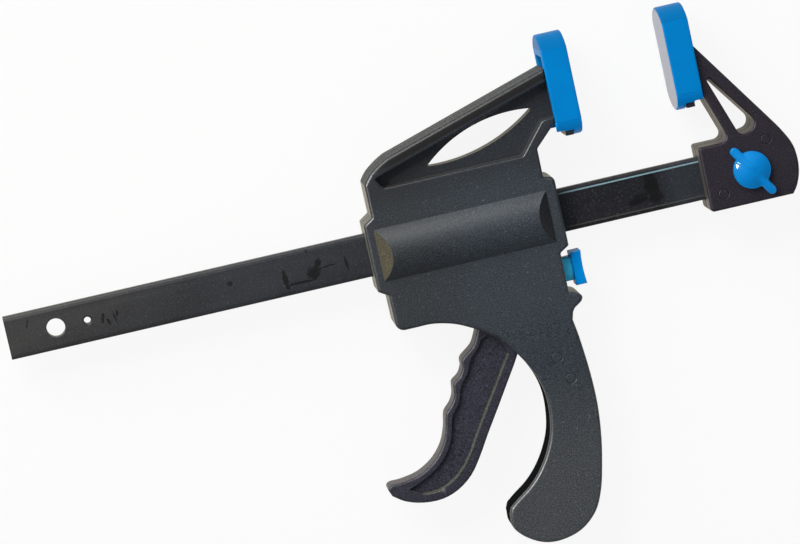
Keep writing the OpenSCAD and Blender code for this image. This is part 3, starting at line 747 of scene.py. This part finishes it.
def dressed(bm, nodes, name, body, finish_names, angle=SHARP):
    """Turns the finished mesh into the piece that stands for these nodes"""
    ob = added(name, mesh_of(name, bm))
    for finish_name in finish_names:
        ob.data.materials.append(finish(finish_name))
    shade(ob, angle)
    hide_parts(*nodes)
    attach(ob, body)
    return ob


# ---- Operators ----

class CLAMP_OT_head(bpy.types.Operator):
    """Rounded halves of the sliding head"""
    bl_idname = "clamp.head"
    bl_label = "Sliding head"

    def execute(self, context):
        s = sizes()
        for side, name in ((1, "front"), (-1, "rear")):
            bm = clean_copy("head_shell_" + name)
            self.eye(bm)
            self.arm_root(bm)
            cut_across(bm, 1, range(-90, -42, 4))
            self.level_handle(bm)
            round_rims(bm, 2, side * HEAD_HALF, side, lambda p: self.radius(s, p))
            self.sink_handle(bm)
            # the seam is narrower where the brake lever's slot leaves a thin wall
            round_rims(bm, 2, 0, -side, lambda p: 0.15 if abs(p.x - 230.15) < 0.8 and -38 < p.y < -8
                       else s.seam / MM, rings=1)
            narrow_tongue(bm, "head_pad")
            ob = dressed(bm, ["head_shell_" + name], "head_cover_" + name, "head",
                         ("eroded_plastic", "shaded_plastic", "dull_plastic"))
            self.paint_shaded_sides(ob.data)
        return {"FINISHED"}

    @staticmethod
    def paint_shaded_sides(mesh):
        """Painted shade: the handle's channel gets the nearly black copy of the plastic, the arm's
        outer side the darker, less glossy copy
        """
        for f in mesh.polygons:
            x, y, z = f.center / MM
            if y < -60 and -8.7 < z < 7 and f.normal.x < 0.5 and f.normal.y > -0.6:
                f.material_index = 1
            elif (y - x * ARM_SLOPE > ARM_LEVEL - 7 and f.normal.y > 0.45
                  and abs(f.normal.z) < 0.8):
                f.material_index = 2

    @staticmethod
    def eye(bm):
        """Makes the arm's eye-shaped hole smooth, and a little flatter along its top"""
        half, mid = (EYE_B - EYE_A).length / 2, (EYE_A + EYE_B) / 2
        along = (EYE_B - EYE_A).normalized()

        def bow(sag, u):
            r = (half * half + sag * sag) / (2 * sag)
            return math.sqrt(r * r - u * u) - r + sag

        for side, cad_sag, sag in EYE_BOWS:
            def chosen(v):
                u, w = beside_line(v, mid, along)
                return abs(u) < half and abs(w * side - bow(cad_sag, u)) < 0.05

            for v in finer_walls(bm, 2, chosen):
                u = beside_line(v, mid, along)[0]
                at = mid + along * u + left_of(along) * side * bow(sag, u)
                v.co.x, v.co.y = at.x * MM, at.y * MM

    @staticmethod
    def arm_root(bm):
        """Bows the straight piece of the outline where the arm leaves the body"""
        length = (ROOT_B - ROOT_A).length
        along = (ROOT_B - ROOT_A).normalized()

        def chosen(v):
            u, off = beside_line(v, ROOT_A, along)
            return -0.01 < u / length < 1.01 and abs(off) < 0.02

        for v in finer_walls(bm, 2, chosen, 7):
            t = share_of(beside_line(v, ROOT_A, along)[0] / length, 0, 1)
            out = left_of(along) * ROOT_BOW * 4 * t * (1 - t) * MM
            v.co.x += out.x
            v.co.y += out.y

    @staticmethod
    def level_handle(bm):
        """Brings the handle's outer face up to the body's, so that both are one flat region"""
        for v in bm.verts:
            y, z = v.co.y / MM, abs(v.co.z) / MM
            face = HEAD_HALF - (HEAD_HALF - GRIP_HALF) * share_of(y, GRIP_FROM, GRIP_TO)
            if face - 0.25 < z < HEAD_HALF and y < GRIP_FROM:
                v.co.z = math.copysign(HEAD_HALF * MM, v.co.z)

    @staticmethod
    def sink_handle(bm):
        """Lets the handle's outer face down again along a soft curve"""
        for v in bm.verts:
            t = share_of(v.co.y / MM, *GRIP_SOFT)
            drop = (HEAD_HALF - GRIP_HALF) * t * t * (3 - 2 * t) * MM
            if abs(v.co.z) / MM > GRIP_HALF + 0.3 and drop > 0:
                v.co.z -= math.copysign(drop, v.co.z)

    @staticmethod
    def radius(s, p):
        """Radius on the rim of the outer face: small at the screws' wells, and under the arm
        and along it larger towards its root"""
        x, y = p.x - HEAD_X, p.y
        if any(math.hypot(x - a, y - b) < 4 for a, b in SCREWS):
            return 0.3
        top = ARM_ROOT + (x - 12) * ARM_SLOPE
        root = share_of(x, 7, 21)
        if y > 29.4 and 3 < x < 92 and y < top - 4.5:
            return 0.9 + 1.3 * root if y > top - 7.5 else 0.9
        if y > 33 and y > top - 3:
            return 1.3 + root
        return s.shell_round / MM


class CLAMP_OT_jaw(bpy.types.Operator):
    """Rounded halves of the fixed jaw"""
    bl_idname = "clamp.jaw"
    bl_label = "Fixed jaw"

    def execute(self, context):
        s = sizes()
        for side, name in ((1, "front"), (-1, "rear")):
            bm = clean_copy("jaw_half_" + name)
            round_rims(bm, 2, side * JAW_HALF, side, self.radius)
            # beside the bar's slot the seam is narrow in front and closed at the rear
            thin = 0.15 if side > 0 else 0.0
            round_rims(bm, 2, 0, -side, lambda p: thin if 10.4 < abs(p.y) < 11.2 else s.seam / MM,
                       rings=1)
            narrow_tongue(bm, "jaw_pad")
            dressed(bm, ["jaw_half_" + name], "jaw_cover_" + name, "bar_and_jaw",
                    ("smooth_plastic",))
        return {"FINISHED"}

    @staticmethod
    def radius(p):
        """Radius on the rim of the outer faces: small at the rear's upper screw, along the
        pad's flange and in the pocket"""
        x, y = p.x - JAW_X, p.y
        if p.z < 0 and math.hypot(x - 10.8, y - 50) < 9:
            return 0.15
        if x < 8.2 and y > 30 or 8 < x < 31 and 15.5 < y < 50 and y < 60 - x * 1.25 - 3:
            return 0.9
        return 1.3


class CLAMP_OT_trigger(bpy.types.Operator):
    """Rounded trigger"""
    bl_idname = "clamp.trigger"
    bl_label = "Trigger"

    def execute(self, context):
        s = sizes()
        bm = clean_copy("trigger")
        for side in (1, -1):
            self.panel(bm, side)
            round_rims(bm, 2, side * TRIGGER_HALF, side, lambda p: self.radius(s, p))
        ob = dressed(bm, ["trigger"], "trigger_lever", "trigger",
                     ("trigger_plastic", "rubbed_plastic", "shaded_plastic"))
        # painted light on the panel's rim: a highlight along its back edge, shade in the corner on
        # its finger side
        for f in ob.data.polygons:
            at = f.center / MM
            if abs(f.normal.z) < 0.97 and abs(at.z) > TRIGGER_HALF - PANEL_DEPTH:
                if beside(at, PANEL_BACK, 1.3):
                    f.material_index = 1
                elif beside(at, PANEL_FRONT, 0.7):
                    f.material_index = 2
        return {"FINISHED"}

    @staticmethod
    def panel(bm, side):
        """Gives the hollow panel of one side a rim that follows the finger steps"""
        top, floor = side * TRIGGER_HALF * MM, side * (TRIGGER_HALF - PANEL_DEPTH) * MM
        bm.normal_update()
        cap = [f for f in bm.faces if all(abs(v.co.z - top) < 4e-6 for v in f.verts)]
        old = [f for f in bm.faces if f not in cap
               and all(v.co.z * side > abs(floor) - 4e-6 for v in f.verts)]
        if not cap or not old:
            raise RuntimeError("the trigger's panel wasn't found")
        sunk = {v for f in old for v in f.verts}
        rims = [[v for v, e in rim] for rim in rims_of(cap)]
        kept = [rim for rim in rims if not all(v in sunk for v in rim)]
        bmesh.ops.delete(bm, geom=cap + old, context="FACES")
        bmesh.ops.delete(bm, geom=[v for v in bm.verts if not v.link_faces], context="VERTS")
        front, back = curve(PANEL_FRONT), curve(PANEL_BACK)
        # how far the wall leans in, in millimetres: more along the back
        lean = [0.15] * len(front) + [min(0.75, 0.15 + 0.12 * i) for i in range(len(back))]
        lean += [0.2] * len(PANEL_TOP)
        flat = [Vector((HEAD_X + x, y, 0)) * MM for x, y in (*front, *back, *PANEL_TOP)]
        inner = inner_line(flat, [MM * d for d in lean], unit(2))[0]
        high = [bm.verts.new((p.x, p.y, top)) for p in flat]
        low = [bm.verts.new((p.x, p.y, floor)) for p in inner]
        bridge(bm, [high, low])
        fill_flat(bm, kept + [high], 2)
        fill_flat(bm, [low], 2)
        bmesh.ops.recalc_face_normals(bm, faces=bm.faces)

    @staticmethod
    def radius(s, p):
        """Radius along the trigger's rims: small on the panel's finger side"""
        if beside(p, PANEL_FRONT, 1.2):
            return 0.5
        return 0.7 if beside(p, PANEL_BACK, 1.2) else s.trigger_round / MM


class CLAMP_OT_pads(bpy.types.Operator):
    """Blue pads of both jaws"""
    bl_idname = "clamp.pads"
    bl_label = "Pads"

    def execute(self, context):
        s = sizes()

        def radius(p):
            """Small along the flange's pocket, which opens inside the pad's outline"""
            inside = abs(p.z) <= 12.5 and PAD_LOW + 1 < p.y < PAD_TOP - 5
            return 0.2 if inside else s.pad_round / MM

        for node, body in (("head_pad", "head"), ("jaw_pad", "bar_and_jaw")):
            low, high = (c.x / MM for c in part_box(node))
            bm = clean_copy(node)
            self.narrow_mouth(bm)
            for at, facing in ((low, -1), (high, 1)):
                round_rims(bm, 0, at, facing, radius)
            face = high if node == "head_pad" else low
            ob = dressed(bm, [node], node + "_cover", body, ("gloss_blue", "face_blue"))
            for f in ob.data.polygons:
                if abs(f.normal.x) > 0.99 and abs(f.center.x / MM - face) < 0.01:
                    f.material_index = 1
        return {"FINISHED"}

    @staticmethod
    def narrow_mouth(bm):
        """Closes the lower mouth of the flange's pocket to the stub, along the pad's heel"""
        r = (PAD_HALF ** 2 + PAD_HEEL ** 2) / (2 * PAD_HEEL)

        def heel(z):
            return PAD_LOW + r - math.sqrt(r * r - z * z)

        corner = [v.co.x / MM for v in bm.verts if abs(abs(v.co.z) / MM - MOUTH_CAD) < 0.05
                  and abs(v.co.y / MM - heel(MOUTH_CAD)) < 0.3]
        left, right = min(corner) - 0.05, max(corner) + 0.05
        for side in (1, -1):
            rows = []
            for k in range(6):
                z = MOUTH_HALF + (MOUTH_CAD + 0.05 - MOUTH_HALF) * k / 5
                rows.append([bm.verts.new(Vector((x, y, side * z)) * MM) for x, y in (
                    (left, heel(z)), (right, heel(z)), (right, MOUTH_TOP), (left, MOUTH_TOP))])
            bridge(bm, rows)
            bm.faces.new(rows[0])
            bm.faces.new(rows[-1])
        bmesh.ops.recalc_face_normals(bm, faces=bm.faces)


class CLAMP_OT_knob(bpy.types.Operator):
    """Wing knob and release cap"""
    bl_idname = "clamp.knob"
    bl_label = "Knob and release cap"

    def execute(self, context):
        dressed(self.knob(), ["wing_knob"], "wing_knob_turned", "lock_knob",
                ("polished_blue",))
        bm = clean_copy("release_cap")
        for side in (1, -1):
            for height, radius in ((5.5, 0.6), (4.5, 0.5)):
                round_rims(bm, 2, side * height, side, lambda p: radius)
        dressed(bm, ["release_cap"], "release_button", "brake_lever", ("cap_blue",))
        return {"FINISHED"}

    @staticmethod
    def knob():
        """A domed disc with two wings: a ridge from the upper wing's tip onto the dome, and a level
        lug for the lower wing
        """
        low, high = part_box("wing_knob")
        base, top = low.z / MM, high.z / MM - low.z / MM
        # radius of the disc, half width and turn of the wings, and how far each reaches
        disc, half, angle = 8.6, 2.1, math.radians(123)
        upper, lower = 13.5, 14.8
        # height of the disc's rim, rise of its dome, rounding of the edge
        rim, dome, edge = 1.8, 2.8, 0.6
        steps, rows, drop = 360, 36, 8

        def reach_at(a):
            """Distance of the outline from the centre in the direction a from the ridge"""
            c, t = abs(math.cos(a)), abs(math.sin(a))
            reach = upper if math.cos(a) > 0 else lower
            centre = reach - half
            inside = half * half - (centre * t) ** 2
            wing = centre * c + math.sqrt(inside) if inside > 0 else 0
            if half / max(t, 1e-6) * c < centre and t > 0:
                wing = max(wing, half / t)
            # the wing runs into the disc over a small fillet
            k = 0.9
            wing = min(wing, reach)
            gap = max(k - abs(wing - disc), 0) / k
            return max(wing, disc) + gap * gap * k * 0.25

        def height(u, v):
            """Height at a place along the ridge and across it"""
            bowl = rim + dome * (1 - min(1.0, (u * u + v * v) / disc ** 2))
            if u > 0:
                # the upper wing runs up onto the dome and fades out past its middle
                crest = 5.1 - 0.24 * u - 0.7 * max(0, 1 - u / 4) ** 2
                side = v + 0.9 * max(0, 1 - u / 7) ** 2
            else:
                # the lower wing is a level lug at the foot of the dome
                crest = 3.7 - 0.5 * max(0, -u - 9) ** 2 / 34 - 1.2 * max(0, 1 + u / 6)
                side = v
            ridge = crest * math.exp(-abs(side / 2.5) ** 3)
            gap = max(1.0 - abs(ridge - bowl), 0)
            return min(top, max(ridge, bowl) + gap * gap / 4)

        bm = bmesh.new()

        def point(u, v, z):
            c, t = math.cos(angle), math.sin(angle)
            return bm.verts.new(Vector((KNOB_X + u * c - v * t, u * t + v * c, base + z)) * MM)

        hub = point(0, 0, height(0, 0))
        rings = [[] for _ in range(rows + drop + 1)]
        for i in range(steps):
            a = 2 * math.pi * i / steps
            c, t = math.cos(a), math.sin(a)
            far = reach_at(a)
            inner = far - edge
            brink = height(inner * c, inner * t)
            line = [(inner * k / rows, None) for k in range(1, rows + 1)]
            for k in range(1, drop + 1):
                turn = math.radians(90) * k / drop
                line.append((inner + edge * math.sin(turn), brink - edge * (1 - math.cos(turn))))
            line.append((far, 0.0))
            for ring, (d, z) in zip(rings, line):
                ring.append(point(d * c, d * t, height(d * c, d * t) if z is None else z))
        bridge(bm, [[hub] * steps, *rings])
        bm.faces.new(rings[-1])
        bmesh.ops.recalc_face_normals(bm, faces=bm.faces)
        return bm


class CLAMP_OT_steel(bpy.types.Operator):
    """Rolled bar, springs, and finishes of the levers, pins and screws"""
    bl_idname = "clamp.steel"
    bl_label = "Steel pieces"

    def execute(self, context):
        bm = clean_copy("bar")
        for side in (1, -1):
            round_rims(bm, 2, side * BAR_HALF[1], side, lambda p: 0.3)
        cut_across(bm, 1, (BAR_RIDGE, -BAR_RIDGE))
        for v in bm.verts:
            share = (abs(v.co.y) / MM - BAR_RIDGE) / (BAR_HALF[0] - BAR_RIDGE)
            if share > 0 and abs(v.co.z) > 1.2 * MM:
                v.co.z -= math.copysign(share * BAR_DROP * MM, v.co.z)
        dressed(bm, ["bar"], "bar_rolled", "bar_and_jaw", ("black_bar",),
                math.radians(6))
        #         each coil, on a mesh of its own
        for kind, joint, travel in COILS:
            coil = dressed(clean_copy(kind + "_spring"), [kind + "_spring"], kind + "_coil",
                           "head", ("oiled_spring",), math.radians(50))
            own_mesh(coil)
        for node in ("lock_pin", "lock_pin_clip", "trigger_pin", "drive_lever", "spring_washer",
                     "brake_lever", "head_screws", "jaw_screws"):
            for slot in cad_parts[node].material_slots:
                slot.material = finish("zinc")
        return {"FINISHED"}


class CLAMP_OT_stage(bpy.types.Operator):
    """Floor, lights and camera"""
    bl_idname = "clamp.stage"
    bl_label = "Stage"

    def execute(self, context):
        scene = context.scene
        for part in (self.camera, self.floor, self.world, self.lamps):
            part(scene, scene.clamp_stage)
        scene.view_settings.view_transform = "Standard"
        return {"FINISHED"}

    @staticmethod
    def camera(scene, s):
        """The photograph's angle: fitted to the bar's edges and the hole in its free end"""
        width, height = 800, 544
        tilt = Vector((0.0955, -0.125))
        turn = math.radians(13.046)
        # focal length of the fit in pixels, and pixels to a millimetre at the hole
        focus, scale = 4000, 2.208
        distance = focus / scale * MM
        hole, pixel = Vector((0, 0, BAR_HALF[1] * MM)), (55.9, 327.8)
        up = Vector((tilt.x, tilt.y, math.sqrt(1 - tilt.length_squared)))
        ex = Vector((math.cos(turn), math.sin(turn), 0))
        ex.z = -(ex.x * up.x + ex.y * up.y) / up.z
        ex.normalize()
        back = Matrix((ex, up.cross(ex), up))
        at = back.transposed() @ hole
        away = (distance - at.z) / (s.lens / SENSOR * width)
        shift = Vector(((pixel[0] - width / 2) * away - at.x,
                        (height / 2 - pixel[1]) * away - at.y, -distance))
        cam = bpy.data.cameras.new("camera")
        cam.lens, cam.sensor_width = s.lens, SENSOR
        cam.clip_start, cam.clip_end = 0.05, 20
        scene.camera = added("camera", cam)
        scene.camera.matrix_world = Matrix.Translation(back @ -shift) @ back.to_4x4()

    @staticmethod
    def floor(scene, s):
        """A pale floor just under the clamp that is nearly white where it's seen"""
        bm = bmesh.new()
        bmesh.ops.create_grid(bm, x_segments=8, y_segments=8, size=6.0)
        ob = added("floor", mesh_of("floor", bm))
        ob.location = (0.15, 0, CAD_BOX[0].z - 0.0003)
        n = material("floor")
        seen, mirrored = n.seen()
        matt, glow = n.add("ShaderNodeBsdfDiffuse"), n.add("ShaderNodeEmission")
        speck = n.span(n.noise(n.place(), 400.0), 0.3, 0.7)
        n.set(matt, Color=n.mix(speck, Vector(s.floor) * 0.97, s.floor))
        n.set(glow, Color=n.mix(mirrored, (1.0, 1.0, 1.0), (0.96, 0.90, 0.76)))
        n.finish_with(n.times(seen, 0.9), matt, glow)
        ob.data.materials.append(n.owner)

    @staticmethod
    def world(scene, s):
        """Even light all round behind a white backdrop; mirrored, the backdrop dims overhead"""
        scene.world = bpy.data.worlds.new("surroundings")
        n = Nodes(scene.world, "ShaderNodeOutputWorld")
        seen, mirrored = n.seen()
        towards = n.add("ShaderNodeVectorMath", operation="DOT_PRODUCT")
        n.feed(towards.inputs, (n.add("ShaderNodeTexCoord").outputs["Generated"],
                                Vector((-0.60, 0.78, -0.15)).normalized()))
        dim = n.times(n.span(towards.outputs["Value"], 0.75, -0.45, smooth=True), mirrored)
        even, backdrop = (n.add("ShaderNodeBackground") for _ in range(2))
        n.set(even, Color=(0.94, 0.97, 1.0), Strength=s.sky)
        n.set(backdrop, Color=n.mix(dim, (1.0, 1.0, 1.0), (0.16, 0.18, 0.21)))
        n.finish_with(seen, even, backdrop)

    @staticmethod
    def lamps(scene, s):
        """A soft key at the upper left, a weak fill that isn't mirrored, and two lamps that are
        only mirrored, which make the boss's soft band and the knob's white marks"""
        centre = Vector((0.17, -0.02, 0))
        for name, at, size, share, tint in (
                ("key", (-0.65, 1.20, 0.80), 1.15, 1.0, (1.0, 0.98, 0.93)),
                ("fill", (0.35, -1.05, 0.85), 1.2, 0.06, (0.97, 0.98, 1.0)),
                ("gleam", (-0.20, 0.75, 1.00), 0.5, 0.06, (0.93, 1.0, 1.0)),
                ("spark", (-0.78, 0.40, 0.92), 0.16, 0.8, (1.0, 1.0, 1.0))):
            lamp = bpy.data.lights.new(name, "AREA")
            lamp.size, lamp.energy, lamp.color = size, s.key * share, tint
            ob = added(name, lamp)
            ob.location = centre + Vector(at)
            ob.rotation_euler = (-Vector(at)).to_track_quat("-Z", "Y").to_euler()
            ob.visible_diffuse = name not in ("spark", "gleam")
            ob.visible_glossy = name != "fill"


class CLAMP_PT_sidebar(bpy.types.Panel):
    """Lists the clamp's pieces and settings"""
    bl_idname = "CLAMP_PT_sidebar"
    bl_label = "Quick release bar clamp"
    bl_space_type = "VIEW_3D"
    bl_region_type = "UI"
    bl_category = "Clamp"

    def draw(self, context):
        for name, kind in GROUPS.items():
            for key in kind.__annotations__:
                self.layout.prop(getattr(context.scene, name), key)
        for op in STEPS:
            self.layout.operator(op.bl_idname)


STEPS = (CLAMP_OT_stage, CLAMP_OT_head, CLAMP_OT_jaw, CLAMP_OT_trigger, CLAMP_OT_pads,
         CLAMP_OT_knob, CLAMP_OT_steel)
GROUPS = {"clamp_sizes": ClampSizes, "clamp_colours": ClampColours, "clamp_stage": ClampStage}


def register():
    for c in (*GROUPS.values(), *STEPS, CLAMP_PT_sidebar):
        bpy.utils.register_class(c)
    for name, kind in GROUPS.items():
        setattr(bpy.types.Scene, name, bpy.props.PointerProperty(type=kind))


def unregister():
    for name in GROUPS:
        delattr(bpy.types.Scene, name)
    for c in reversed((*GROUPS.values(), *STEPS, CLAMP_PT_sidebar)):
        bpy.utils.unregister_class(c)


def main():
    register()
    for op in STEPS:
        getattr(bpy.ops.clamp, op.bl_idname.split(".")[1])()


if __name__ == "__main__":
    main()
